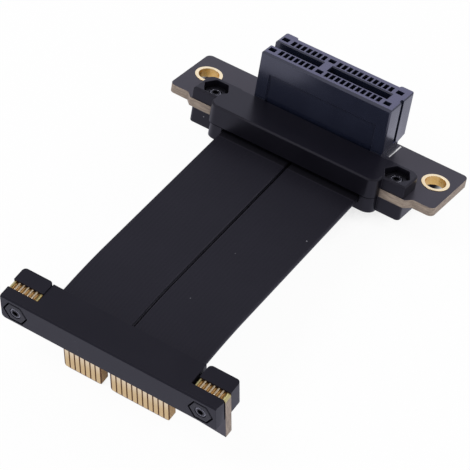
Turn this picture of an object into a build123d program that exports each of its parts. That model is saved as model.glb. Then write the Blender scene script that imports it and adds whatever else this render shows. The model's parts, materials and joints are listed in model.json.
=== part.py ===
import math
import os

from build123d import *

# A short extension cable for x1 card slots. A socket on a flat board stands at the back, a card edge on
# an upright board stands at the front, and two flat ribbon cables join them.
# Lengths are in millimetres. +X runs along the socket, +Y from the card edge to the socket, +Z is up.

# Contact pattern, shared by the socket and the card edge
pitch = 1.0
short_pins = 7
long_pins = 11
key_gap = 3.0

# Boards
board_thickness = 1.6
hole_clearance = 0.08
fit_clearance = 0.05

# Socket housing
socket_length = 25.2
socket_offset = 0.25
socket_height = 11.0
socket_front = 3.75
socket_back = 3.65
socket_boss_proud = 0.5
socket_boss_length = 2.6
socket_top_chamfer = 0.35
socket_left_round = 0.5
socket_edge = 0.3
socket_foot_inset = 1.4
socket_foot_height = 1.9
socket_foot_slope = 0.9
socket_end_inset = 0.25
socket_end_groove = 0.9
socket_end_groove_depth = 0.45
socket_end_groove_y = 0.15
socket_panel_depth = 0.3
socket_panel_top = 7.3
socket_panel_margin = 2.2
slot_width = 1.75
slot_depth = 8.35
slot_end_margin = 1.0
slot_lead_in = 0.2
slot_key_width = 1.5
window_width = 0.7
window_length = 1.5
window_lip = 1.9
row_offset = 2.05
relief_width = 1.25
relief_length = 1.1
relief_depth = 2.2
relief_reach = 11.15

# Contacts
contact_width = 0.5
contact_thickness = 0.24
contact_top_drop = 0.7
contact_bow_height = 6.9
contact_bow_reach = 0.62
contact_base = 1.4
tail_length = 0.9
tail_hole = 0.76
solder_height = 0.45
solder_radius = 0.62

# Female board
female_length = 51.8
female_offset = -0.3
female_back = 4.3
female_front = 9.2
tab_front = 8.1
tab_inner = 21.0
board_corner = 1.0
mount_inset = 3.45
mount_y = -1.1
mount_hole = 3.6
ring_outer = 4.8
ring_wall = 0.22
ring_rise = 0.06

# Shells round the front of the female board
shell_half = 16.4
shell_front = 11.3
shell_rise = 2.25
shell_wall = 1.5
shell_corner = 1.7
shell_edge = 0.25
shell_back_gap = 0.1
lower_drop = 2.95
lower_back_drop = 0.97
lower_back = 4.2
lower_back_wall = 0.8
lower_back_chamfer = 0.6
lower_inset = 0.1
lower_front_inset = 0.35
lower_floor = 1.0
ear_half = 20.7
ear_front_gap = 0.1
ear_back = 3.7
ear_corner = 1.6
ear_drop = 2.95

# Screws and nuts
screw_diameter = 2.0
screw_head = 3.4
screw_head_height = 1.1
head_sunk = 0.3
screw_socket = 1.4
screw_socket_depth = 0.6
tip_socket = 0.95
tip_socket_depth = 0.5
nut_flats = 3.9
nut_height = 1.0
nut_clearance = 0.1
nut_corner = 0.35
nut_floor = 0.3
ear_screw_x = 17.75
ear_screw_y = -6.6

# Male board
male_height = 13.5
male_length = 40.8
male_offset = 0.2
male_corner = 0.6
wing_drop = 9.4
wing_shoulder_drop = 8.8
left_wing_drop = 7.2
left_wing_gap = 3.6
right_wing_gap = 0.9
wing_slope_length = 3.5
cover_height = 5.2
edge_margin = 0.6
edge_corner = 1.1
edge_bevel = 0.3
edge_notch = 1.65
finger_width = 0.76
finger_bottom = 0.5
finger_top_gap = 1.0
plating = 0.06
castle_length = 5.8
castle_height = 0.75
castle_pitch = 0.82
castle_hole = 0.56
castle_count = 6

# Covers of the male board
cover_front = 2.2
flange_thickness = 1.5
flange_half = 14.4
flange_back = 2.6
cover_corner = 0.7
cover_facet = 0.3
cover_facet_depth = 1.7
cover_seam = 0.35
cover_seam_depth = 0.25
rear_depth = 2.8
rear_rise = 0.15
rear_inner = 14.7
rear_outer = 20.4
rear_height = 4.7
rear_bar_back = 2.3
rear_corner = 0.7
male_screw_x = 17.45
male_screw_drop = 2.8

# Ribbon cables
ribbon_width = 13.25
ribbon_thickness = 0.85
ribbon_gap = 0.4
ribbon_clearance = 0.05
ribbon_start = 0.9
ribbon_corner = 11.35
ribbon_bend = 100.0
ribbon_board_gap = 0.35
wire_count = 10
wire_width = 0.5
wire_thickness = 0.26
wire_reach = 1.9

# How the two ends lie on a flat surface
female_tilt = 16.0
board_distance = 61.3

# Longer than any piece is thick, for the cutters that pass right through
cutter_reach = 30.0

tilt = math.radians(female_tilt)
screw_hole = screw_diameter + 2 * hole_clearance
head_hole = screw_head + 2 * hole_clearance
mount_x = female_length / 2 - mount_inset
lower_bottom = board_thickness + lower_drop
female_lift = (lower_bottom + lower_back_drop) * math.cos(tilt) + lower_back * math.sin(tilt)
socket_top_reach = (socket_back + socket_boss_proud) * math.cos(tilt) + socket_height * math.sin(tilt)
cover_bottom = male_height - cover_height
depth_centre = (board_distance + socket_top_reach - cover_front) / 2
# The socket's board is the widest piece, so its middle is the middle of the whole.
male_place = Location((-female_offset, -depth_centre, 0))
female_place = Location((-female_offset, board_distance - depth_centre, female_lift), (-female_tilt, 0, 0))
female_shift = Pos(female_offset, 0, 0)

# The ribbons leave the male board level, under the flange, and end under the front of the female board.
ribbon_z_male = male_height - flange_thickness - ribbon_clearance - ribbon_thickness / 2
ribbon_end_y = -female_front - ribbon_board_gap
ribbon_end_z = -board_thickness - ribbon_board_gap - ribbon_thickness / 2
ribbon_y_female = board_distance + ribbon_end_y * math.cos(tilt) + ribbon_end_z * math.sin(tilt)
ribbon_z_female = female_lift - ribbon_end_y * math.sin(tilt) + ribbon_end_z * math.cos(tilt)
slope = math.atan2(ribbon_z_male - ribbon_z_female, ribbon_y_female - ribbon_corner)

pin_span = (short_pins + long_pins - 2) * pitch + key_gap
short_row = [i * pitch - pin_span / 2 for i in range(short_pins)]
long_row = [pin_span / 2 - i * pitch for i in range(long_pins)]
pins = short_row + long_row
key_centre = short_row[-1] + key_gap / 2
slot_end = pin_span / 2 + slot_end_margin


def block(x0, x1, y0, y1, z0, z1):
    """A box between two corners."""
    return Pos((x0 + x1) / 2, (y0 + y1) / 2, (z0 + z1) / 2) * Box(x1 - x0, y1 - y0, z1 - z0)


def rod(diameter, length, x, y, z):
    """A cylinder that stands on z."""
    return Pos(x, y, z + length / 2) * Cylinder(diameter / 2, length)


def side_profile(points, x0, x1):
    """A shape drawn as (y, z) points and carried along X."""
    face = Plane.YZ * make_face(Polyline(*[(y, z) for y, z in points], close=True))
    return Pos(x0, 0, 0) * extrude(face, x1 - x0, dir=(1, 0, 0))


def front_profile(points, y0, y1):
    """A shape drawn as (x, z) points and carried along Y."""
    face = Plane.XZ * make_face(Polyline(*points, close=True))
    return Pos(0, y0, 0) * extrude(face, y1 - y0, dir=(0, 1, 0))


def rounded_plate(x0, x1, y0, y1, z0, z1, radius, corners="all"):
    """A plate with rounded upright corners: all of them, or those at the front."""
    plate = block(x0, x1, y0, y1, z0, z1)
    edges = plate.edges().filter_by(Axis.Z)
    if corners == "front":
        edges = edges.sort_by(Axis.Y)[:2]
    return fillet(edges, radius)


def strip_outline(points, thickness):
    """The outline of a bent strip of even thickness round a line of (y, z) points."""
    left, right = [], []
    last = len(points) - 1
    for i, (y, z) in enumerate(points):
        before = points[max(i - 1, 0)]
        after = points[min(i + 1, last)]
        if i in (0, last):
            turn = math.atan2(after[1] - before[1], after[0] - before[0])
            reach = thickness / 2
        else:
            a = math.atan2(z - before[1], y - before[0])
            b = math.atan2(after[1] - z, after[0] - y)
            turn = (a + b) / 2
            reach = thickness / 2 / math.cos((b - a) / 2)
        left.append((y - reach * math.sin(turn), z + reach * math.cos(turn)))
        right.append((y + reach * math.sin(turn), z - reach * math.cos(turn)))
    return left + right[::-1]


def hexagon(flats, height, x, y, z, corner):
    """An upright hexagonal prism with two corners on the X axis."""
    outline = RegularPolygon(flats / 2, 6, major_radius=False, rotation=0)
    prism = extrude(outline, height)
    prism = fillet(prism.edges().filter_by(Axis.Z), corner)
    return Pos(x, y, z) * prism


def make_socket_housing():
    half = socket_length / 2
    left, right = socket_offset - half, socket_offset + half
    top = socket_height
    chamfer_z = top - socket_top_chamfer
    foot_y = socket_back - socket_foot_inset
    slope_z = socket_foot_height + socket_foot_slope
    outline = [
        (-socket_front, 0),
        (foot_y, 0),
        (foot_y, socket_foot_height),
        (socket_back, slope_z),
        (socket_back, top),
        (-socket_front + socket_top_chamfer, top),
        (-socket_front, chamfer_z),
    ]
    housing = side_profile(outline, left, right)
    for x0, x1 in ((left, left + socket_boss_length), (right - socket_boss_length, right)):
        boss = block(x0, x1, socket_back - 1, socket_back + socket_boss_proud, slope_z, top)
        boss = fillet(boss.edges().filter_by(Axis.Z).sort_by(Axis.Y)[2:], socket_boss_proud * 0.9)
        housing += boss
    boss_back = socket_back + socket_boss_proud
    housing &= rounded_plate(left, right, -socket_front, boss_back, 0, top, socket_edge, "front")
    side_view = block(left, right, -socket_front, boss_back, 0, top)
    upper = side_view.edges().filter_by(Axis.Y).group_by(Axis.Z)[-1].sort_by(Axis.X)
    side_view = fillet(upper[0], socket_left_round)
    upper = side_view.edges().filter_by(Axis.Y).group_by(Axis.Z)[-1].sort_by(Axis.X)
    housing &= fillet(upper[-1], socket_edge)
    panel_left, panel_right = left + socket_panel_margin, right - socket_panel_margin
    panel_y = -socket_front + socket_panel_depth
    cuts = [block(panel_left, panel_right, -socket_front - 1, panel_y, -1, socket_panel_top)]
    groove = socket_end_groove / 2
    groove_x = right - socket_end_groove_depth
    groove_front, groove_back = socket_end_groove_y - groove, socket_end_groove_y + groove
    cuts.append(block(groove_x, right + 1, groove_front, groove_back, slope_z, top + 1))
    # The foot of the right end stands back from the end above it.
    inset_x = right - socket_end_inset
    undercut = [(inset_x, -1), (inset_x, socket_foot_height), (right, slope_z),
                (right + 1, slope_z), (right + 1, -1)]
    cuts.append(front_profile(undercut, -socket_front - 1, boss_back + 1))

    # The slot runs out through the left end. A key bar bridges it between the two groups of contacts.
    slot_z = top - slot_depth
    key_left = key_centre - slot_key_width / 2
    key_right = key_centre + slot_key_width / 2
    for x0, x1 in ((left - 1, key_left), (key_right, slot_end)):
        cuts.append(block(x0, x1, -slot_width / 2, slot_width / 2, slot_z, top + 1))
        mouth = slot_width / 2 + slot_lead_in
        lead_z = top - slot_lead_in
        lead = [(-mouth, top), (mouth, top), (slot_width / 2, lead_z), (-slot_width / 2, lead_z)]
        cuts.append(side_profile(lead, x0, x1))

    # Each contact has a window in the top face, a chamber that opens into the slot, and a hole for its tail.
    outer = row_offset + window_length / 2
    for x in pins:
        for side in (-1, 1):
            x0, x1 = x - window_width / 2, x + window_width / 2
            window = sorted((side * (row_offset - window_length / 2), side * outer))
            chamber = sorted((side * (slot_width / 2 - 0.01), side * outer))
            cuts.append(block(x0, x1, *window, top - window_lip - 0.5, top + 1))
            cuts.append(block(x0, x1, *chamber, contact_base, top - window_lip))
            tail_x = contact_width / 2 + fit_clearance
            tail_y = sorted((side * (outer - contact_thickness - fit_clearance), side * outer))
            cuts.append(block(x - tail_x, x + tail_x, *tail_y, -1, contact_base + 0.1))

    # Square relief pockets stand at the ends of each row and over the key.
    wide, deep = relief_width / 2, relief_length / 2
    pocket = block(-wide, wide, -deep, deep, -relief_depth, 1)
    for x in (-relief_reach, key_centre, relief_reach):
        for side in (-1, 1):
            cuts.append(Pos(x, side * (row_offset + 0.1), top) * pocket)
    return housing - cuts


def make_contacts(side):
    """One row of stamped contacts. Each bows into the slot and ends in a tail through the board."""
    outer = row_offset + window_length / 2
    back = outer - contact_thickness / 2
    line = [
        (back - 0.45, socket_height - contact_top_drop),
        (back - 0.6, socket_height - window_lip),
        (contact_bow_reach + contact_thickness / 2, contact_bow_height),
        (back - 0.5, contact_bow_height - 2.6),
        (back, contact_base + 1.6),
        (back, -board_thickness - tail_length),
    ]
    points = [(side * y, z) for y, z in strip_outline(line, contact_thickness)]
    one = side_profile(points, -contact_width / 2, contact_width / 2)
    return Compound([Pos(x, 0, 0) * one for x in pins])


def tail_y():
    return row_offset + window_length / 2 - contact_thickness / 2


def make_female_board():
    half = female_length / 2
    inner = tab_inner + female_front - tab_front
    outline = [
        (-half, female_back),
        (-half, -tab_front),
        (-inner, -tab_front),
        (-tab_inner, -female_front),
        (tab_inner, -female_front),
        (inner, -tab_front),
        (half, -tab_front),
        (half, female_back),
    ]
    board = extrude(make_face(Polyline(*outline, close=True)), board_thickness)
    corners = board.edges().filter_by(Axis.Z).group_by(Axis.X)
    board = fillet(corners[0] + corners[-1], board_corner)
    board = Pos(0, 0, -board_thickness) * board
    through = board_thickness + 2
    bottom = -through + 1
    cuts = []
    for side in (-1, 1):
        cuts.append(rod(mount_hole + 2 * ring_wall, through, side * mount_x, mount_y, bottom))
        cuts.append(rod(screw_hole, through, side * ear_screw_x, ear_screw_y, bottom))
    board = female_shift * (board - cuts)
    return board - [rod(tail_hole, through, x, side * tail_y(), bottom) for x in pins for side in (-1, 1)]


def make_mounting_ring(side):
    """A plated hole: a thin tube through the board with a flat collar on each face."""
    ring = rod(mount_hole + 2 * ring_wall, board_thickness, 0, 0, -board_thickness)
    ring += rod(ring_outer, ring_rise, 0, 0, 0)
    ring += rod(ring_outer, ring_rise, 0, 0, -board_thickness - ring_rise)
    ring -= rod(mount_hole, board_thickness + 2, 0, 0, -board_thickness - 1)
    return female_shift * Pos(side * mount_x, mount_y, 0) * ring


def make_solder_joints():
    """A cone of solder round each contact tail, under the board."""
    joints = []
    cone = Cone(solder_radius * 0.55, solder_radius, solder_height)
    slot = Box(contact_width + 0.02, contact_thickness + 0.02, solder_height + 1)
    for side in (-1, 1):
        for x in pins:
            place = Pos(x, side * tail_y(), -board_thickness - solder_height / 2)
            joints.append(place * (cone - slot))
    return Compound(joints)


def make_ear_top(side):
    """The block of the top shell that holds a nut at one end of the board."""
    x0, x1 = sorted((side * (shell_half - 2), side * ear_half))
    ear = block(x0, x1, -female_front + ear_front_gap, -ear_back, 0, shell_rise)
    corner = ear.edges().filter_by(Axis.Z).sort_by(Axis.X)
    outer = (corner[2:] if side > 0 else corner[:2]).sort_by(Axis.Y)
    ear = fillet(outer[1:], ear_corner)
    return ear


def make_top_shell():
    body = rounded_plate(-shell_half, shell_half, -shell_front, -socket_front - shell_back_gap,
                         -board_thickness, shell_rise, shell_corner, "front")
    body += make_ear_top(-1)
    body += make_ear_top(1)
    rim = body.faces().sort_by(Axis.Z)[-1].outer_wire().edges()
    body = chamfer(rim, shell_edge)
    cuts = [block(-ear_half - 1, ear_half + 1, -female_front - fit_clearance, 0, -board_thickness - 1, 0)]
    room = shell_half - shell_wall
    cuts.append(block(-room, room, -shell_front + shell_wall, -socket_front - shell_wall,
                      -board_thickness - 1, shell_rise - 1))
    for side in (-1, 1):
        x = side * ear_screw_x
        cuts.append(rod(screw_hole, cutter_reach, x, ear_screw_y, -cutter_reach / 2))
        pocket = hexagon(nut_flats + 2 * nut_clearance, cutter_reach, x, ear_screw_y, nut_floor, nut_corner)
        cuts.append(pocket)
    return female_shift * (body - cuts)


def make_bottom_shell():
    top = -board_thickness
    half = shell_half - lower_inset
    front = shell_front - lower_front_inset
    deepest = -lower_bottom - lower_back_drop
    body = rounded_plate(-half, half, -front, lower_back, deepest, top, shell_corner, "front")
    body = chamfer(body.edges().filter_by(Axis.Z).group_by(Axis.Y)[-1], lower_back_chamfer)
    body -= side_profile([(-front, deepest), (-front, -lower_bottom), (lower_back, deepest)], -half, half)
    ear_bottom = -board_thickness - ear_drop
    for side in (-1, 1):
        x0, x1 = sorted((side * (half - 2), side * ear_half))
        ear = block(x0, x1, -female_front + ear_front_gap, -ear_back, ear_bottom, top)
        outer = ear.edges().filter_by(Axis.Z).sort_by(Axis.X)
        outer = outer[2:] if side > 0 else outer[:2]
        body += fillet(outer, shell_edge * 3)
    room = half - shell_wall
    floor = -lower_bottom + lower_floor
    cuts = [block(-room, room, -front + shell_wall, lower_back - lower_back_wall, floor, 1)]
    for side in (-1, 1):
        x = side * ear_screw_x
        cuts.append(rod(screw_hole, cutter_reach, x, ear_screw_y, -cutter_reach / 2))
        cuts.append(rod(head_hole, screw_head_height + head_sunk, x, ear_screw_y, ear_bottom))
    # The ribbons come in through a mouth in the front wall.
    mouth = ribbon_width + ribbon_gap / 2 + ribbon_clearance
    mouth_z = ribbon_bottom_at_female() - ribbon_clearance
    opening = block(-mouth, mouth, -front - 1, -front + shell_wall + 1, mouth_z, 1)
    return female_shift * (body - cuts) - opening


def ribbon_bottom_at_female():
    """The underside of the sloping ribbon at the front face of the shells."""
    run = shell_front - female_front - ribbon_board_gap
    return -board_thickness - ribbon_board_gap - ribbon_thickness - run * math.tan(tilt - slope)


def make_screw(length):
    """A cap screw that points up, with the underside of its head at z = 0."""
    screw = rod(screw_diameter, length, 0, 0, 0)
    head = rod(screw_head, screw_head_height, 0, 0, -screw_head_height)
    head = chamfer(head.edges().group_by(Axis.Z)[0], 0.2)
    screw += head
    drive = extrude(RegularPolygon(screw_socket / 2, 6, major_radius=False), screw_socket_depth)
    screw -= Pos(0, 0, -screw_head_height) * drive
    tip = screw.edges().group_by(Axis.Z)[-1]
    screw = chamfer(tip, 0.25)
    tip_drive = extrude(RegularPolygon(tip_socket / 2, 6, major_radius=False), tip_socket_depth)
    return screw - Pos(0, 0, length - tip_socket_depth) * tip_drive


def make_nut():
    nut = hexagon(nut_flats, nut_height, 0, 0, 0, nut_corner * 0.8)
    nut = chamfer(nut.edges().group_by(Axis.Z)[-1], 0.12)
    return nut - rod(screw_diameter + 2 * fit_clearance, nut_height + 2, 0, 0, -1)


def make_female_screws():
    seat = -board_thickness - ear_drop + screw_head_height + head_sunk
    screw = female_shift * Pos(0, ear_screw_y, seat) * make_screw(nut_floor + nut_height - seat)
    return Compound([Pos(side * ear_screw_x, 0, 0) * screw for side in (-1, 1)])


def make_female_nuts():
    nut = female_shift * Pos(0, ear_screw_y, nut_floor) * make_nut()
    return Compound([Pos(side * ear_screw_x, 0, 0) * nut for side in (-1, 1)])


def male_ends():
    return male_offset - male_length / 2, male_offset + male_length / 2


def make_male_board():
    left, right = male_ends()
    tab_left = -pin_span / 2 - edge_margin
    tab_right = pin_span / 2 + edge_margin
    slope_start = tab_right + right_wing_gap
    shoulder = male_height - flange_thickness - fit_clearance
    crown = male_height - castle_height
    outline = [
        (left, male_height - left_wing_drop),
        (tab_left - left_wing_gap, male_height - left_wing_drop),
        (tab_left - left_wing_gap, cover_bottom),
        (tab_left, cover_bottom),
        (tab_left, 0),
        (tab_right, 0),
        (tab_right, cover_bottom),
        (slope_start, cover_bottom),
        (slope_start + wing_slope_length, male_height - wing_shoulder_drop),
        (right, male_height - wing_drop),
        (right, crown),
        (right - castle_length, crown),
        (right - castle_length, shoulder),
        (left + castle_length, shoulder),
        (left + castle_length, crown),
        (left, crown),
    ]
    board = front_profile(outline, 0, board_thickness)
    notch = block(-edge_notch / 2, edge_notch / 2, -1, board_thickness + 1, -1, cover_bottom)
    board -= Pos(key_centre, 0, 0) * notch
    board = fillet(board.edges().filter_by(Axis.Y).group_by(Axis.Z)[0], edge_corner)
    # Both long edges of the card edge are bevelled so that it slides into a slot.
    for y, inward in ((0, 1), (board_thickness, -1)):
        wedge = [(y - inward, -1), (y + inward * edge_bevel * 0.6, -1), (y + inward * edge_bevel * 0.6, 0),
                 (y, edge_bevel * 1.6), (y - inward, edge_bevel * 1.6)]
        board -= side_profile(wedge, left, right)
    return board - [male_screw_hole(side) for side in (-1, 1)]


def male_screw_hole(side):
    """A hole along Y through the covers and the male board."""
    hole = rod(screw_hole, cutter_reach, 0, 0, -cutter_reach / 2)
    return Pos(side * male_screw_x, 0, male_height - male_screw_drop) * Rot(90, 0, 0) * hole


def make_fingers(back):
    """One row of gold pads on the card edge."""
    y0 = board_thickness if back else -plating
    top = cover_bottom - finger_top_gap
    pad = block(-finger_width / 2, finger_width / 2, y0, y0 + plating, finger_bottom, top)
    return Compound([Pos(x, 0, 0) * pad for x in pins])


def make_castle_strip(side):
    """The plated top edge of the male board at one end, with a row of half holes."""
    left, right = male_ends()
    x0, x1 = (left, left + castle_length) if side < 0 else (right - castle_length, right)
    strip = block(x0, x1, 0, board_thickness, male_height - castle_height, male_height)
    ends = strip.edges().filter_by(Axis.Y).group_by(Axis.Z)[-1]
    strip = fillet(ends, male_corner)
    middle = (x0 + x1) / 2
    cutter = Rot(90, 0, 0) * Cylinder(castle_hole / 2, board_thickness + 2)
    for i in range(castle_count):
        x = middle + (i - (castle_count - 1) / 2) * castle_pitch
        strip -= Pos(x, board_thickness / 2, male_height) * cutter
    return strip


def make_front_cover():
    left, right = male_ends()
    top = male_height
    bar = block(left, right, -cover_front, 0, cover_bottom, top)
    bar = fillet(bar.edges().filter_by(Axis.Y).group_by(Axis.Z)[0], cover_corner)
    # The right end has a long shallow facet, and a narrow step beside the board.
    facet = [(right - cover_facet, -cover_front), (right, -cover_front + cover_facet_depth),
             (right + 1, -cover_front + cover_facet_depth), (right + 1, -cover_front - 1),
             (right - cover_facet, -cover_front - 1)]
    bar -= extrude(make_face(Polyline(*facet, close=True)), cutter_reach)
    bar -= block(right - cover_seam_depth, right + 1, -cover_seam, 1, 0, top + 1)
    bar += block(-flange_half, flange_half, -1, board_thickness + flange_back, top - flange_thickness, top)
    bar = chamfer(bar.edges().filter_by(Axis.X).group_by(Axis.Z)[-1].sort_by(Axis.Y)[0], shell_edge)
    cuts = []
    for side in (-1, 1):
        cuts.append(male_screw_hole(side))
        pocket = hexagon(nut_flats + 2 * nut_clearance, cutter_reach, 0, 0, 0, nut_corner)
        place = Pos(side * male_screw_x, -cover_front + nut_height, top - male_screw_drop)
        cuts.append(place * Rot(90, 0, 0) * pocket)
    return bar - cuts


def make_rear_cover():
    """Two blocks behind the male board, joined by a bar under the ribbons."""
    top = male_height
    front = board_thickness
    bar_top = ribbon_z_male - ribbon_thickness / 2 - ribbon_clearance
    rear_bottom = top - rear_height
    body = block(-rear_inner - 1, rear_inner + 1, front, front + rear_bar_back, rear_bottom, bar_top)
    for side in (-1, 1):
        x0, x1 = sorted((male_offset + side * rear_inner, male_offset + side * rear_outer))
        end = block(x0, x1, front, front + rear_depth, rear_bottom, top + rear_rise)
        end = fillet(end.edges().filter_by(Axis.Z).group_by(Axis.Y)[-1], rear_corner)
        body += end
    cuts = [male_screw_hole(side) for side in (-1, 1)]
    head = rod(head_hole, cutter_reach, 0, 0, 0)
    seat = front + rear_depth - screw_head_height
    for side in (-1, 1):
        place = Pos(side * male_screw_x, seat, male_height - male_screw_drop)
        cuts.append(place * Rot(-90, 0, 0) * head)
    room = wire_count * ribbon_width / (wire_count + 1)
    cuts.append(block(-room - 1, room + 1, front - 1, front + ribbon_start, rear_bottom + 1.2, bar_top + 1))
    return body - cuts


def make_male_screws():
    seat = board_thickness + rear_depth - screw_head_height
    length = seat + cover_front
    screws = []
    for side in (-1, 1):
        place = Pos(side * male_screw_x, seat, male_height - male_screw_drop)
        screws.append(place * Rot(90, 0, 0) * make_screw(length))
    return Compound(screws)


def make_male_nuts():
    nuts = []
    for side in (-1, 1):
        place = Pos(side * male_screw_x, -cover_front + nut_height, male_height - male_screw_drop)
        nuts.append(place * Rot(90, 0, 0) * make_nut())
    return Compound(nuts)


def make_ribbon(side):
    """A flat cable that leaves the male end level, bends gently, and slopes down to the female board."""
    y_start = board_thickness + ribbon_start
    centre = (ribbon_corner - ribbon_bend * math.tan(slope / 2), ribbon_z_male - ribbon_bend)

    def on_bend(angle, radius):
        return (centre[0] + radius * math.sin(angle), centre[1] + radius * math.cos(angle))

    outer = ribbon_bend + ribbon_thickness / 2
    inner = ribbon_bend - ribbon_thickness / 2
    across = (ribbon_thickness / 2 * math.sin(slope), ribbon_thickness / 2 * math.cos(slope))
    outer_end = (ribbon_y_female + across[0], ribbon_z_female + across[1])
    inner_end = (ribbon_y_female - across[0], ribbon_z_female - across[1])
    z_top = ribbon_z_male + ribbon_thickness / 2
    z_bottom = ribbon_z_male - ribbon_thickness / 2
    outline = [
        Line((y_start, z_top), on_bend(0, outer)),
        ThreePointArc(on_bend(0, outer), on_bend(slope / 2, outer), on_bend(slope, outer)),
        Line(on_bend(slope, outer), outer_end),
        Line(outer_end, inner_end),
        Line(inner_end, on_bend(slope, inner)),
        ThreePointArc(on_bend(slope, inner), on_bend(slope / 2, inner), on_bend(0, inner)),
        Line(on_bend(0, inner), (y_start, z_bottom)),
        Line((y_start, z_bottom), (y_start, z_top)),
    ]
    ribbon = extrude(Plane.YZ * make_face(outline), ribbon_width, dir=(1, 0, 0))
    x0 = ribbon_gap / 2 if side > 0 else -ribbon_gap / 2 - ribbon_width
    return Pos(x0, 0, 0) * ribbon


def wire_places():
    step = ribbon_width / (wire_count + 1)
    return [side * (ribbon_gap / 2 + step * (i + 1)) for side in (-1, 1) for i in range(wire_count)]


def make_male_wires():
    """Bare wire ends between the ribbons and the back of the male board."""
    z = ribbon_z_male
    wire = block(-wire_width / 2, wire_width / 2, board_thickness, board_thickness + ribbon_start,
                 z - wire_thickness / 2, z + wire_thickness / 2)
    return Compound([Pos(x, 0, 0) * wire for x in wire_places()])


def make_female_wires():
    """Bare wire ends that step up from the ribbons to the underside of the female board."""
    y0 = ribbon_end_y + ribbon_clearance
    z0 = ribbon_end_z
    z1 = -board_thickness - wire_thickness / 2
    line = [(y0, z0), (y0 + 0.4, z0), (y0 + 0.4 + z1 - z0, z1), (y0 + wire_reach + 0.4, z1)]
    wire = side_profile(strip_outline(line, wire_thickness), -wire_width / 2, wire_width / 2)
    return Compound([Pos(x, 0, 0) * wire for x in wire_places()])


female_parts = {
    "female_board": make_female_board(),
    "mounting_ring_left": make_mounting_ring(-1),
    "mounting_ring_right": make_mounting_ring(1),
    "socket_housing": make_socket_housing(),
    "socket_contacts_front": make_contacts(-1),
    "socket_contacts_back": make_contacts(1),
    "solder_joints": make_solder_joints(),
    "top_shell": make_top_shell(),
    "bottom_shell": make_bottom_shell(),
    "female_screws": make_female_screws(),
    "female_nuts": make_female_nuts(),
    "female_wire_ends": make_female_wires(),
}
male_parts = {
    "male_board": make_male_board(),
    "edge_fingers_front": make_fingers(False),
    "edge_fingers_back": make_fingers(True),
    "castle_strip_left": make_castle_strip(-1),
    "castle_strip_right": make_castle_strip(1),
    "front_cover": make_front_cover(),
    "rear_cover": make_rear_cover(),
    "male_screws": make_male_screws(),
    "male_nuts": make_male_nuts(),
    "male_wire_ends": make_male_wires(),
    "ribbon_left": make_ribbon(-1),
    "ribbon_right": make_ribbon(1),
}

os.makedirs("parts", exist_ok=True)
for name, shape in female_parts.items():
    export_step(shape.moved(female_place), "parts/" + name + ".step")
for name, shape in male_parts.items():
    export_step(shape.moved(male_place), "parts/" + name + ".step")
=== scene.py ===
import json
import math

import bpy
from mathutils import Matrix, Vector


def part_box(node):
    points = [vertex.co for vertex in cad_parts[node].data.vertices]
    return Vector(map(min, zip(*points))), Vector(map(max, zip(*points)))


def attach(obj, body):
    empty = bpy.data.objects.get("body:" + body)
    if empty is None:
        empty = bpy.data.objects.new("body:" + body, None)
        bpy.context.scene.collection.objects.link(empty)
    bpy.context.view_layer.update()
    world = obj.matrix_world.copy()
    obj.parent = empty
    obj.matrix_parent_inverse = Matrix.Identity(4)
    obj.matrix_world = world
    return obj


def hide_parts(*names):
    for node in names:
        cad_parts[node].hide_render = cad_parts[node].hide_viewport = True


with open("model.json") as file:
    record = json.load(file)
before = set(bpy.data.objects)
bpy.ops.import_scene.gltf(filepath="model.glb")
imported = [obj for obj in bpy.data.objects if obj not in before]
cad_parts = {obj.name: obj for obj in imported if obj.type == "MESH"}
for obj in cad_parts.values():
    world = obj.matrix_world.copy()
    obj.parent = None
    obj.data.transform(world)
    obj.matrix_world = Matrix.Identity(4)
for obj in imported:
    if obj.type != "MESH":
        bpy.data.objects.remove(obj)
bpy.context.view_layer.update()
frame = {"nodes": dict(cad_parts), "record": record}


nodes = frame["nodes"]
print("frame loaded:", len(nodes), "CAD nodes")

# Places that the materials and the extra pieces work from, all read from the frame

mountRow = {mount["name"]: mount for mount in frame["record"]["mounts"]}
socketUp = Vector(mountRow["mounting_hole_left"]["axis"]).normalized()  # square to the socket's board
socketBack = Vector((0, socketUp.z, -socketUp.y))
cardSlot = Vector(mountRow["card_slot"]["pos_m"])
deckBottom = min(vertex.co.dot(socketUp) for vertex in nodes["female_board"].data.vertices)
slotDepth = cardSlot.dot(socketBack)  # the slot's middle, along socketBack
fingersLow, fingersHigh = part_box("edge_fingers_front")
floorLevel = min(fingersLow.z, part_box("bottom_shell")[0].z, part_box("male_board")[0].z)


# Shader maths: a wire is one output of a node, and an expression on wires adds the Math nodes

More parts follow.
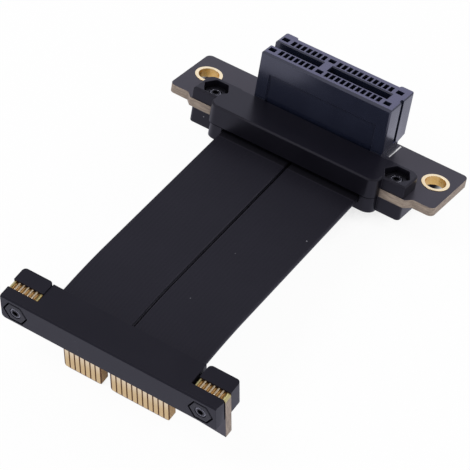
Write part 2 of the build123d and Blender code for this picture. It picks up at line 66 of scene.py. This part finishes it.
class Wire:
    def __init__(self, tree, socket=None):
        self.tree = tree
        self.socket = socket

    def node(self, kind, settings, inputs, output=0):
        made = self.tree.nodes.new("ShaderNode" + kind)
        for name, value in settings.items():
            setattr(made, name, value)
        for name, value in inputs.items():
            if isinstance(value, Wire):
                self.tree.links.new(value.socket, made.inputs[name])
            else:
                made.inputs[name].default_value = value
        return Wire(self.tree, made.outputs[output])

    def into(self, socket):
        self.tree.links.new(self.socket, socket)

    def reckon(self, operation, first, second=0.0):
        return self.node("Math", {"operation": operation}, {0: first, 1: second})

    def __add__(self, other):
        return self.reckon("ADD", self, other)

    def __radd__(self, other):
        return self.reckon("ADD", other, self)

    def __sub__(self, other):
        return self.reckon("SUBTRACT", self, other)

    def __rsub__(self, other):
        return self.reckon("SUBTRACT", other, self)

    def __mul__(self, other):
        return self.reckon("MULTIPLY", self, other)

    def __rmul__(self, other):
        return self.reckon("MULTIPLY", other, self)

    def away(self):  # the distance from zero
        return self.reckon("ABSOLUTE", self)

    def least(self, other):
        return self.reckon("MINIMUM", self, other)

    def most(self, other):
        return self.reckon("MAXIMUM", self, other)

    def wave(self):
        return self.reckon("SINE", self)

    def rise(self, start, end):  # 0 below start, 1 above end, smooth between
        return self.node("MapRange", {"interpolation_type": "SMOOTHSTEP"},
                         {"Value": self, "From Min": start, "From Max": end})

    def along(self, direction):
        return self.node("VectorMath", {"operation": "DOT_PRODUCT"}, {0: self, 1: direction}, "Value")

    def blend(self, share, first, second):
        return self.node("Mix", {"data_type": "RGBA"}, {0: share, 6: first, 7: second}, 2)

    def place(self):
        return self.node("TexCoord", {}, {}, "Object")

    def facing(self):
        return self.node("NewGeometry", {}, {}, "Normal")

    def grain(self, size, detail=2.0, stretch=(1, 1, 1)):  # size in metres
        spot = self.node("Mapping", {}, {"Vector": self.place(), "Scale": [s / size for s in stretch]})
        return self.node("TexNoise", {}, {"Vector": spot, "Scale": 1.0, "Detail": detail}, "Fac")

    def specks(self, size, share, radius):  # rare round dots
        spot = self.node("Mapping", {}, {"Vector": self.place(), "Scale": (1 / size,) * 3})
        cells = {"Vector": spot, "Scale": 1.0}
        near = self.node("TexVoronoi", {}, cells, "Distance")
        pick = self.node("TexVoronoi", {}, cells, "Color")
        chance = self.node("SeparateColor", {}, {"Color": pick}, "Red")
        return (1 - near.rise(radius * 0.5, radius)) * chance.rise(1 - share, 1 - share * 0.8)

    def edges(self, radius, gain):  # 1 on sharp edges, where the rounded normal leaves the true one
        soft = self.node("Bevel", {"samples": 6}, {"Radius": radius})
        turn = self.node("VectorMath", {"operation": "DOT_PRODUCT"}, {0: soft, 1: self.facing()}, "Value")
        return ((1 - turn) * gain).least(1.0)

    def shut(self, distance):  # how much of the air round a spot is shut off
        return 1 - self.node("AmbientOcclusion", {"samples": 6}, {"Distance": distance}, "AO")

    def hollows(self, distance):  # 1 deep in a slit or a corner
        return self.shut(distance).rise(0.25, 0.8)

    def relief(self, height, distance, radius):  # a bump over edges rounded by radius
        soft = self.node("Bevel", {"samples": 6}, {"Radius": radius})
        inputs = {"Strength": 1.0, "Distance": distance, "Height": height, "Normal": soft}
        return self.node("Bump", {}, inputs)


def makeMaterial(name, fixed):
    made = bpy.data.materials.new(name)
    made.use_nodes = True
    shader = made.node_tree.nodes["Principled BSDF"]
    for socket, value in fixed.items():
        shader.inputs[socket].default_value = value
    return made, Wire(made.node_tree), shader


def dress(material, names):  # each name is a CAD node, or stands for the piece that took its place
    for name in names:
        slots = nodes[name].data.materials
        slots.clear()
        slots.append(material)
    print("material", material.name, "on", ", ".join(names))


# Pieces that take the place of a CAD node: the same form with its edges really rounded

def isolate(piece):
    bpy.ops.object.select_all(action="DESELECT")
    piece.select_set(True)
    bpy.context.view_layer.objects.active = piece


def middle(spots):
    return Vector(((min(spot[i] for spot in spots) + max(spot[i] for spot in spots)) / 2 for i in range(3)))


def drawIn(piece, axis, by, beyond):  # narrows each of a pair of nuts, and leaves its bore alone
    for side in (-1, 1):
        corners = [vertex for vertex in piece.data.vertices if vertex.co.x * side > 0]
        centre = middle([vertex.co for vertex in corners])
        for vertex in corners:
            arm = vertex.co - centre
            arm -= axis * arm.dot(axis)
            if arm.length > beyond:
                vertex.co -= arm.normalized() * by


def makeSoftened(name, s):
    piece = bpy.data.objects.new(s["name"], nodes[name].data.copy())
    piece.data.name = s["name"]
    bpy.context.scene.collection.objects.link(piece)
    isolate(piece)
    bpy.ops.object.mode_set(mode="EDIT")
    bpy.ops.mesh.select_all(action="SELECT")
    bpy.ops.mesh.remove_doubles(threshold=0.000002)
    bpy.ops.mesh.customdata_custom_splitnormals_clear()
    bpy.ops.mesh.dissolve_limited(angle_limit=math.radians(1.0))
    bpy.ops.object.mode_set(mode="OBJECT")
    if "drawnIn" in s:
        drawIn(piece, s["axis"], s["drawnIn"], s["beyond"])
    sharpFrom = math.radians(s.get("angle", plainAngle))
    rounding = piece.modifiers.new("rounding", "BEVEL")
    rounding.width = s["width"]
    rounding.segments = s["segments"]
    rounding.limit_method = "ANGLE"
    rounding.angle_limit = sharpFrom
    rounding.harden_normals = True
    bpy.ops.object.shade_smooth_by_angle(angle=sharpFrom)
    bpy.ops.object.modifier_apply(modifier=rounding.name)
    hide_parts(name)
    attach(piece, "root")
    nodes[name] = piece
    print("softened", name, "to", len(piece.data.polygons), "faces")


plainAngle = 30  # degrees: an edge that turns by more is rounded
softened = {
    "top_shell": {"name": "topShellRounded", "slot": "shell", "width": 0.00012, "segments": 2},
    "bottom_shell": {"name": "bottomShellRounded", "slot": "shell", "width": 0.00025, "segments": 3},
    "front_cover": {"name": "frontCoverRounded", "slot": "shell", "width": 0.00014, "segments": 2},
    "rear_cover": {"name": "rearCoverRounded", "slot": "shell", "width": 0.00018, "segments": 2},
    "socket_housing": {"name": "socketRounded", "slot": "socket", "width": 0.00005, "segments": 2},
    "mounting_ring_left": {"name": "ringLeftRolled", "slot": "gold", "width": 0.00005, "segments": 3},
    "mounting_ring_right": {"name": "ringRightRolled", "slot": "gold", "width": 0.00005, "segments": 3},
    "castle_strip_left": {"name": "castleLeftPlated", "slot": "gold", "width": 0.00007, "segments": 3},
    "castle_strip_right": {"name": "castleRightPlated", "slot": "gold", "width": 0.00007, "segments": 3},
    "male_nuts": {"name": "coverNutsBevelled", "slot": "fastener", "width": 0.00014, "segments": 2,
                  "axis": Vector((0, 1, 0)), "drawnIn": 0.00014, "beyond": 0.0015},
    "female_nuts": {"name": "earNutsBevelled", "slot": "fastener", "width": 0.00014, "segments": 2,
                    "axis": socketUp, "drawnIn": 0.00014, "beyond": 0.0015},
    "male_screws": {"name": "coverScrewsBevelled", "slot": "fastener", "width": 0.00006, "segments": 2},
    "female_screws": {"name": "earScrewsBevelled", "slot": "fastener", "width": 0.00006, "segments": 2},
    "ribbon_left": {"name": "ribbonLeftJacket", "slot": "ribbon", "width": 0.00028, "segments": 4,
                   "angle": 40},
    "ribbon_right": {"name": "ribbonRightJacket", "slot": "ribbon", "width": 0.00028, "segments": 4,
                    "angle": 40},
}
for nodeName, softenSettings in softened.items():
    makeSoftened(nodeName, softenSettings)

# Thread crests that show between the end of each screw and its nut

# Each turn is its radius, its own thickness and how far it is sunk below the screw's end
threadEnds = {"turns": ((0.00091, 0.00007, 0.00016), (0.00082, 0.00006, 0.00007)), "around": 40, "across": 8}


def tipCentre(name, side, axis):
    spots = [vertex.co for vertex in nodes[name].data.vertices if vertex.co.x * side > 0]
    top = max(spot.dot(axis) for spot in spots)
    return middle([spot for spot in spots if spot.dot(axis) > top - 0.00001])


def makeThreadEnds(name, screws, axis, s):
    rings = []
    for side in (-1, 1):
        tip = tipCentre(screws, side, axis)
        for major, minor, sunk in s["turns"]:
            bpy.ops.mesh.primitive_torus_add(
                major_radius=major, minor_radius=minor,
                major_segments=s["around"], minor_segments=s["across"],
                location=tip - axis * sunk, rotation=axis.to_track_quat("Z", "X").to_euler())
            bpy.ops.object.transform_apply(location=True, rotation=True, scale=True)
            rings.append(bpy.context.object)
    bpy.ops.object.select_all(action="DESELECT")
    for ring in rings:
        ring.select_set(True)
    bpy.context.view_layer.objects.active = rings[0]
    bpy.ops.object.join()
    bpy.ops.object.shade_smooth()
    rings[0].name = name
    rings[0].data.name = name
    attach(rings[0], "root")
    nodes[name] = rings[0]
    print("thread crests", name, "made")


makeThreadEnds("coverThreadCrests", "male_screws", Vector((0, -1, 0)), threadEnds)
makeThreadEnds("earThreadCrests", "female_screws", socketUp, threadEnds)

# Moulded black plastic of the shells and covers

blackPlastic = {
    "base": (0.0026, 0.0024, 0.0044, 1), "patch": (0.0034, 0.0031, 0.0056, 1),
    "edge": (0.005, 0.0046, 0.008, 1), "upFacingLight": (0.0036, 0.0033, 0.0068, 1),
    "specular": 0.30, "tint": (0.90, 0.88, 1.0, 1), "roughnessLow": 0.27, "roughnessHigh": 0.38,
    "grain": 0.00016, "cloud": 0.006, "depth": 0.000003, "round": 0.00009,
    "edgeGain": 4.0, "edgeShow": 0.7, "edgeSpread": 0.45, "slantSpread": 0.3,
    "seam": 0.0006, "seamSpread": 0.5, "seamHalf": 0.00008,
    "seamGap": (0.0003, 0.0003, 0.0005, 1), "seamLipHighlight": (0.045, 0.044, 0.056, 1),
    "dust": (0.42, 0.42, 0.45, 1), "dustCell": 0.0025, "dustShare": 0.28, "dustRadius": 0.05}


def makeBlackPlastic(name, s, seamAt=None):
    made, w, shader = makeMaterial(name, {"Specular IOR Level": s["specular"], "Specular Tint": s["tint"]})
    fine = w.grain(s["grain"], 3.0)
    cloud = w.grain(s["cloud"], 3.0)
    edge = w.edges(s["round"], s["edgeGain"])
    body = w.blend(cloud.rise(0.35, 0.7), s["base"], s["patch"])
    lean = w.facing().along(socketUp)
    # painted light: faces that point along socketUp get a paler colour
    body = w.blend(lean.rise(0.9, 0.98), body, s["upFacingLight"])
    # painted highlight: the rounded edges are blended to a paler edge colour
    body = w.blend(edge * s["edgeShow"], body, s["edge"])
    body = w.blend(w.specks(s["dustCell"], s["dustShare"], s["dustRadius"]), body, s["dust"])
    if seamAt is not None:
        under = seamAt - w.place().along(socketUp)
        upright = 1 - lean.away().rise(0.2, 0.4)
        gap = (1 - (under + s["seamHalf"]).away().rise(s["seamHalf"], s["seamHalf"] * 1.4)) * upright
        # painted highlight: a thin paler line along the lip just below the dark seam line
        lipHighlight = (1 - (under - s["seamHalf"]).away().rise(s["seamHalf"] * 0.5, s["seamHalf"])) * upright
        body = w.blend(gap, w.blend(lipHighlight, body, s["seamLipHighlight"]), s["seamGap"])
        gap.into(shader.inputs["Metallic"])
    body.into(shader.inputs["Base Color"])
    spread = s["roughnessLow"] + cloud * (s["roughnessHigh"] - s["roughnessLow"])
    slant = lean.rise(0.3, 0.45) * (1 - lean.rise(0.88, 0.96))
    spread = spread + w.hollows(s["seam"]) * s["seamSpread"]
    (spread + edge * s["edgeSpread"] + slant * s["slantSpread"]).least(1.0).into(shader.inputs["Roughness"])
    w.relief(fine, s["depth"], s["round"]).into(shader.inputs["Normal"])
    return made


shellBlack = makeBlackPlastic("shellBlack", blackPlastic, deckBottom)
coverPlastic = {**blackPlastic, "base": (0.0040, 0.0037, 0.0070, 1), "patch": (0.0050, 0.0046, 0.0084, 1),
                "roughnessLow": 0.40, "roughnessHigh": 0.5}
coverBlack = makeBlackPlastic("coverBlack", coverPlastic)
dress(shellBlack, ["top_shell", "bottom_shell"])
dress(coverBlack, ["front_cover", "rear_cover"])

# Socket moulding: dark navy, with a painted highlight on its edges and painted light on its faces that point
# along socketUp

socketPlastic = {
    "base": (0.0078, 0.0100, 0.0215, 1), "patch": (0.0092, 0.0118, 0.0245, 1),
    "edge": (0.034, 0.038, 0.080, 1), "upFacingLight": (0.038, 0.038, 0.092, 1),
    "specular": 1.0, "tint": (0.90, 0.90, 1.0, 1), "roughnessLow": 0.18, "roughnessHigh": 0.28,
    "grain": 0.00012, "cloud": 0.004, "depth": 0.0000025, "round": 0.00006,
    "edgeGain": 3.0, "edgeShow": 0.7, "edgeSpread": 0.4, "slantSpread": 0.5,
    "seam": 0.0004, "seamSpread": 0.5,
    "dust": (0.10, 0.10, 0.14, 1), "dustCell": 0.0025, "dustShare": 0.12, "dustRadius": 0.04}

dress(makeBlackPlastic("socketNavy", socketPlastic), ["socket_housing"])

# Ribbon jacket: matt black with faint ridges over the wires and a little dust, with painted shade near the
# shell and in the slit, and a painted highlight line

ribbonJacket = {
    "base": (0.0062, 0.0058, 0.0098, 1), "patch": (0.0072, 0.0068, 0.0112, 1), "tint": (0.90, 0.88, 1.0, 1),
    "shadowBand": (0.0022, 0.0020, 0.0036, 1), "bandEdgeHighlight": (0.016, 0.015, 0.022, 1), "bandWidth": 0.0011,
    "bandLine": 0.00012, "hollow": (0.001, 0.001, 0.0015, 1), "hollowReach": 0.0005,
    "specular": 0.28, "roughness": 0.46, "cloudSpread": 0.08, "ridges": 20, "ridgeShare": 0.4,
    "ridgeDepth": 0.000010, "grain": 0.0003, "cloud": 0.009, "round": 0.0002,
    "dust": (0.30, 0.30, 0.33, 1), "dustCell": 0.0025, "dustShare": 0.26, "dustRadius": 0.055}


def makeRibbonJacket(s):
    fixed = {"Specular IOR Level": s["specular"], "Specular Tint": s["tint"]}
    made, w, shader = makeMaterial("ribbonJacket", fixed)
    across = w.place().along((1, 0, 0))
    low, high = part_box("ribbon_right")
    width = high.x - low.x
    ridge = (across * (math.tau * s["ridges"] / width)).wave()
    cloud = w.grain(s["cloud"], 3.0)
    dust = w.specks(s["dustCell"], s["dustShare"], s["dustRadius"])
    body = w.blend(cloud.rise(0.3, 0.75), s["base"], s["patch"])
    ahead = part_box("top_shell")[0].y - w.place().along((0, 1, 0))
    # painted shade: a darker band on the ribbons within bandWidth in front of the shell
    body = w.blend(1 - ahead.rise(s["bandWidth"] - s["bandLine"], s["bandWidth"]), body, s["shadowBand"])
    # painted highlight: a thin paler line along the band's far edge
    creaseHighlight = 1 - (ahead - s["bandWidth"]).away().rise(s["bandLine"] * 0.5, s["bandLine"])
    body = w.blend(creaseHighlight, body, s["bandEdgeHighlight"])
    # painted shade: darker deep in the slit between the ribbons and in corners
    body = w.blend(w.hollows(s["hollowReach"]), body, s["hollow"])
    w.blend(dust, body, s["dust"]).into(shader.inputs["Base Color"])
    (s["roughness"] + cloud * s["cloudSpread"]).into(shader.inputs["Roughness"])
    height = ridge * s["ridgeShare"] + w.grain(s["grain"], 2.0)
    w.relief(height, s["ridgeDepth"], s["round"]).into(shader.inputs["Normal"])
    return made


dress(makeRibbonJacket(ribbonJacket), ["ribbon_left", "ribbon_right"])

# Board lacquer, with the glass-fibre laminate bare on the cut edges

boardLacquer = {
    "lacquer": (0.0125, 0.0118, 0.0185, 1), "patch": (0.0150, 0.0140, 0.0215, 1),
    "print": (1.0, 1.0, 0.98, 1),
    "specular": 0.52, "tint": (1.0, 0.93, 0.98, 1), "roughness": 0.36, "edgeRoughness": 0.7, "cloud": 0.005,
    "laminate": (0.34, 0.275, 0.215, 1), "laminateDark": (0.22, 0.175, 0.14, 1), "layer": 0.0002,
    "shaded": (0.085, 0.068, 0.058, 1), "shadeReach": 0.003, "depth": 0.00002, "round": 0.00006,
    "bare": (0.095, 0.040, 0.006, 1), "bareEdge": (0.36, 0.23, 0.10, 1), "bareMetal": 0.9,
    "tabMargin": 0.0007,
    "lineX": 0.01295, "lineHalf": 0.00012, "lineFront": -0.0002, "lineBack": 0.0039, "lineSoft": 0.00002}


def makeBoardLacquer(name, s, upright, fingered=False):
    made, w, shader = makeMaterial(name, {"Specular IOR Level": s["specular"], "Specular Tint": s["tint"]})
    where = w.place()
    flat = w.facing().along(upright).away().rise(0.6, 0.8)
    cloud = w.grain(s["cloud"], 3.0)
    body = w.blend(cloud.rise(0.3, 0.7), s["lacquer"], s["patch"])
    strands = w.grain(s["layer"], 2.0, tuple(0.12 + 0.88 * abs(part) for part in upright))
    cut = w.blend(strands.rise(0.35, 0.65), s["laminate"], s["laminateDark"])
    cut = w.blend(w.shut(s["shadeReach"]).rise(0.12, 0.62), cut, s["shaded"])
    if fingered:
        low = 1 - where.along((0, 0, 1)).rise(fingersHigh.z - 0.0001, fingersHigh.z)
        side = (where.along((1, 0, 0)) - (fingersLow.x + fingersHigh.x) / 2).away()
        half = (fingersHigh.x - fingersLow.x) / 2 + s["tabMargin"]
        bare = low * (1 - side.rise(half, half + 0.0001))
        body = w.blend(bare, body, s["bare"])
        cut = w.blend(bare, cut, s["bareEdge"])
        (bare * flat * s["bareMetal"]).into(shader.inputs["Metallic"])
    else:
        x = (where.along((1, 0, 0)) - s["lineX"]).away()
        y = where.along(socketBack) - slotDepth
        inLine = 1 - x.rise(s["lineHalf"], s["lineHalf"] * 1.3)
        inLine = inLine * y.rise(s["lineFront"] - s["lineSoft"], s["lineFront"])
        inLine = inLine * (1 - y.rise(s["lineBack"], s["lineBack"] + s["lineSoft"]))
        body = w.blend(inLine, body, s["print"])
    w.blend(flat, cut, body).into(shader.inputs["Base Color"])
    (s["edgeRoughness"] + flat * (s["roughness"] - s["edgeRoughness"])).into(shader.inputs["Roughness"])
    w.relief(strands * (1 - flat) + cloud * 0.3, s["depth"], s["round"]).into(shader.inputs["Normal"])
    return made


dress(makeBoardLacquer("socketBoardLacquer", boardLacquer, socketUp), ["female_board"])
dress(makeBoardLacquer("cardLacquer", boardLacquer, Vector((0, 1, 0)), True), ["male_board"])

# Plated and tinned metal, with painted shade in the hollows

goldPlate = {"base": (1.0, 0.78, 0.44, 1), "deep": (0.50, 0.25, 0.06, 1), "deepAt": 0.6, "deepSpread": 0.1,
             "roughnessLow": 0.24, "roughnessHigh": 0.34, "grain": 0.0011, "depth": 0.000002,
             "round": 0.00004, "hollow": 0.0006}
solderTin = {"base": (0.62, 0.62, 0.60, 1), "deep": (0.42, 0.42, 0.41, 1), "deepAt": 0.9, "deepSpread": 0.1,
             "roughnessLow": 0.22, "roughnessHigh": 0.42, "grain": 0.0006, "depth": 0.000006,
             "round": 0.00005, "hollow": 0.0005}


def makeMetal(name, s, ends=(), paleAbove=None):
    made, w, shader = makeMaterial(name, {"Metallic": 1.0})
    cloud = w.grain(s["grain"], 3.0)
    # painted shade: darker and browner deep in hollows and corners, plus a little random mottle
    dark = (w.shut(s["hollow"]).rise(0.08, s["deepAt"]) + cloud.rise(0.45, 0.9) * 0.15).least(1.0)
    base = s["base"]
    # castle strips: painted highlight, paler on the crests above paleAbove and on the rounded edges;
    # fingers: the same code makes them paler above paleFrom of their height and dark brown on their edges
    if paleAbove is not None:
        height = w.place().along((0, 0, 1)) + cloud * s["paleSoft"]
        base = w.blend(height.rise(paleAbove - s["paleSoft"], paleAbove + s["paleSoft"]), base, s["pale"])
        base = w.blend(w.edges(s["rim"], s["rimGain"]), base, s["rimTone"])
    for end in ends:
        near = (w.place().along((1, 0, 0)) - end).away()
        base = w.blend(1 - near.rise(s["endWidth"] * 0.7, s["endWidth"]), base, s["endTint"])
    w.blend(dark, base, s["deep"]).into(shader.inputs["Base Color"])
    spread = s["roughnessLow"] + cloud * (s["roughnessHigh"] - s["roughnessLow"])
    (spread + dark * s["deepSpread"]).into(shader.inputs["Roughness"])
    w.relief(cloud, s["depth"], s["round"]).into(shader.inputs["Normal"])
    return made


ringPlate = {**goldPlate, "base": (1.0, 0.86, 0.54, 1), "deep": (0.72, 0.44, 0.11, 1), "deepAt": 0.30,
             "hollow": 0.007, "roughnessLow": 0.12, "roughnessHigh": 0.20, "deepSpread": 0.28}
dress(makeMetal("ringGold", ringPlate), ["mounting_ring_left", "mounting_ring_right"])
fingerPlate = {**goldPlate, "base": (0.70, 0.51, 0.24, 1), "roughnessLow": 0.3,
               "pale": (0.86, 0.72, 0.47, 1), "paleSoft": 0.0016, "paleFrom": 0.6,
               "rim": 0.00007, "rimGain": 4.0, "rimTone": (0.30, 0.15, 0.03, 1)}
fingersPale = fingersLow.z * (1 - fingerPlate["paleFrom"]) + fingersHigh.z * fingerPlate["paleFrom"]
dress(makeMetal("fingerGold", fingerPlate, (), fingersPale), ["edge_fingers_front", "edge_fingers_back"])
stripEnds = [corner.x for side in ("left", "right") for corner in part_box("castle_strip_" + side)]
castlePlate = {**goldPlate, "base": (0.56, 0.33, 0.11, 1), "deep": (0.30, 0.15, 0.035, 1), "deepAt": 0.5,
               "grain": 0.0009, "endWidth": 0.00075, "endTint": (0.50, 0.44, 0.19, 1),
               "pale": (1.0, 0.84, 0.55, 1), "paleSoft": 0.00008, "crest": 0.00014,
               "rim": 0.00004, "rimGain": 0.5, "rimTone": (1.0, 0.88, 0.62, 1)}
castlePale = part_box("castle_strip_left")[1].z - castlePlate["crest"]
castleGold = makeMetal("castleGold", castlePlate, stripEnds, castlePale)
dress(castleGold, ["castle_strip_left", "castle_strip_right"])
threadSteel = {**goldPlate, "base": (0.34, 0.34, 0.37, 1), "deep": (0.02, 0.02, 0.024, 1), "deepAt": 0.7,
               "roughnessLow": 0.08, "roughnessHigh": 0.2, "grain": 0.0005}
dress(makeMetal("threadSteel", threadSteel), ["coverThreadCrests", "earThreadCrests"])
dress(makeMetal("contactGold", goldPlate), ["socket_contacts_front", "socket_contacts_back"])
dress(makeMetal("solderTin", solderTin), ["solder_joints", "female_wire_ends", "male_wire_ends"])

# Black fasteners

blackZinc = {"base": (0.0016, 0.0016, 0.0024, 1), "wearAndHighlight": (0.045, 0.044, 0.056, 1), "specular": 0.3,
             "tint": (0.88, 0.86, 1.0, 1), "roughness": 0.24, "cloudSpread": 0.2, "grain": 0.0006,
             "depth": 0.00001, "round": 0.00012, "edgeGain": 2.0}


def makeBlackZinc(s):
    fixed = {"Specular IOR Level": s["specular"], "Specular Tint": s["tint"]}
    made, w, shader = makeMaterial("blackZinc", fixed)
    cloud = w.grain(s["grain"], 3.0)
    edge = w.edges(s["round"], s["edgeGain"])
    # paler worn edges, partly a painted highlight on the rounded edges
    w.blend(edge * cloud, s["base"], s["wearAndHighlight"]).into(shader.inputs["Base Color"])
    (s["roughness"] + cloud * s["cloudSpread"]).into(shader.inputs["Roughness"])
    w.relief(cloud, s["depth"], s["round"]).into(shader.inputs["Normal"])
    return made


dress(makeBlackZinc(blackZinc), ["female_screws", "female_nuts", "male_screws", "male_nuts"])

# Floor, lamps and camera

studio = {
    "floorColour": (0.86, 0.86, 0.86, 1), "floorPatch": (0.80, 0.80, 0.80, 1), "shownWhite": 0.96,
    "cool": (0.85, 0.85, 1.0, 1), "reach": 3.0, "underReach": 0.016, "underDark": 0.05, "underLight": 0.16,
    "castAway": (-0.467, 0.698, 0), "castSoft": 0.003, "castInset": 0.001, "castPast": 0.005,
    "castAhead": 0.004, "castTone": (0.020, 0.018, 0.024, 1), "skyLow": 1.15, "skyHigh": 0.26,
    "lampColour": (0.96, 0.95, 1.0),
    "lamps": {"keyLamp": {"spot": (-0.30, -0.10, 0.50), "size": 0.35, "power": 1.5},
              "backLamp": {"spot": (0.22, 0.42, 0.40), "size": 0.40, "power": 0.8},
              "sideLamp": {"spot": (0.45, -0.20, 0.25), "size": 0.30, "power": 0.45}}}


def shadeBoxes(s):  # what shades the floor: the ribbons, and the socket's board from its holes back
    low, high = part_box("ribbon_left")[0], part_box("ribbon_right")[1]
    past = Vector((-s["castInset"], s["castPast"], 0))
    boardLow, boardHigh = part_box("female_board")
    boardLow.y = mountRow["mounting_hole_left"]["pos_m"][1] - s["castAhead"]
    return (low - past, high + past), (boardLow, boardHigh)


def makeFloor(s):
    bpy.ops.object.select_all(action="DESELECT")
    bpy.ops.mesh.primitive_plane_add(size=s["reach"], location=(0, 0, floorLevel))
    floor = bpy.context.object
    floor.name = "studioFloor"
    made = bpy.data.materials.new("studioFloor")
    made.use_nodes = True
    w = Wire(made.node_tree)
    made.node_tree.nodes.clear()
    rays = [w.node("LightPath", {}, {}, f"Is {kind} Ray") for kind in ("Camera", "Glossy", "Transmission")]
    shown = rays[0].most(rays[1]).most(rays[2])
    grainy = w.grain(0.02, 2.0)
    tone = w.blend(grainy * 0.1, s["floorColour"], s["floorPatch"])
    cast = 0.0  # a painted shade, moved along castAway by each box's height over the floor
    for low, high in shadeBoxes(s):
        under = (low + high) / 2 + Vector(s["castAway"]) * ((low.z + high.z) / 2 - floorLevel)
        across = (w.place().along((1, 0, 0)) - under.x).away()
        along = (w.place().along((0, 1, 0)) - under.y).away()
        halfX, halfY = (high.x - low.x) / 2, (high.y - low.y) / 2
        inside = 1 - across.rise(halfX - s["castSoft"], halfX)
        inside = inside * (1 - along.rise(halfY - s["castSoft"], halfY))
        cast = inside.most(cast)
    tone = w.blend(cast, tone, s["castTone"])
    matt = w.node("BsdfDiffuse", {}, {"Color": tone})
    tint = w.blend(rays[1], (1, 1, 1, 1), s["cool"])
    white = w.node("Emission", {}, {"Color": tint, "Strength": 1.0})
    under = w.node("AmbientOcclusion", {"samples": 8}, {"Distance": s["underReach"]}, "AO")
    clear = under.rise(s["underDark"], s["underLight"]) * (1 - cast)
    both = w.node("MixShader", {}, {0: shown * clear * s["shownWhite"], 1: matt, 2: white})
    end = made.node_tree.nodes.new("ShaderNodeOutputMaterial")
    both.into(end.inputs["Surface"])
    floor.data.materials.append(made)


def makeWorld(s):  # pale near the floor like a paper sweep, dimmer overhead
    world = bpy.data.worlds.new("studioWorld")
    bpy.context.scene.world = world
    world.use_nodes = True
    w = Wire(world.node_tree)
    world.node_tree.nodes.clear()
    lift = w.place().along((0, 0, 1))
    level = s["skyLow"] - lift.rise(0.25, 0.75) * (s["skyLow"] - s["skyHigh"])
    mirrored = w.node("LightPath", {}, {}, "Is Glossy Ray")
    glow = w.node("Background", {}, {"Color": w.blend(mirrored, (1, 1, 1, 1), s["cool"]), "Strength": level})
    backdrop = w.node("Background", {}, {"Color": (1, 1, 1, 1), "Strength": 1.0})
    seen = w.node("LightPath", {}, {}, "Is Camera Ray")
    both = w.node("MixShader", {}, {0: seen, 1: glow, 2: backdrop})
    end = world.node_tree.nodes.new("ShaderNodeOutputWorld")
    both.into(end.inputs["Surface"])


def makeLamp(name, s):
    light = bpy.data.lights.new(name, "AREA")
    light.shape = "DISK"
    light.size = s["size"]
    light.energy = s["power"]
    light.color = studio["lampColour"]
    lamp = bpy.data.objects.new(name, light)
    lamp.location = s["spot"]
    lamp.rotation_euler = (-Vector(s["spot"])).to_track_quat("-Z", "Y").to_euler()
    bpy.context.scene.collection.objects.link(lamp)


makeFloor(studio)
makeWorld(studio)
for lampName, lampSettings in studio["lamps"].items():
    makeLamp(lampName, lampSettings)
print("floor, world and lamps made")

# The camera stands where the photograph was taken from
camera = {"spot": (0.1559325, -0.2317782, 0.3386397), "forward": (-0.357634, 0.534299, -0.765913),
          "up": (-0.418602, 0.641427, 0.642919), "lens": 204.654}


def makeCamera(s):
    data = bpy.data.cameras.new("photoCamera")
    data.lens = s["lens"]
    data.sensor_width = 36.0
    forward = Vector(s["forward"]).normalized()
    right = forward.cross(Vector(s["up"])).normalized()
    turn = Matrix((right, right.cross(forward), -forward)).transposed()
    made = bpy.data.objects.new("photoCamera", data)
    made.matrix_world = Matrix.Translation(s["spot"]) @ turn.to_4x4()
    bpy.context.scene.collection.objects.link(made)
    bpy.context.scene.camera = made


makeCamera(camera)
bpy.context.scene.view_settings.view_transform = "Standard"
print("camera placed")
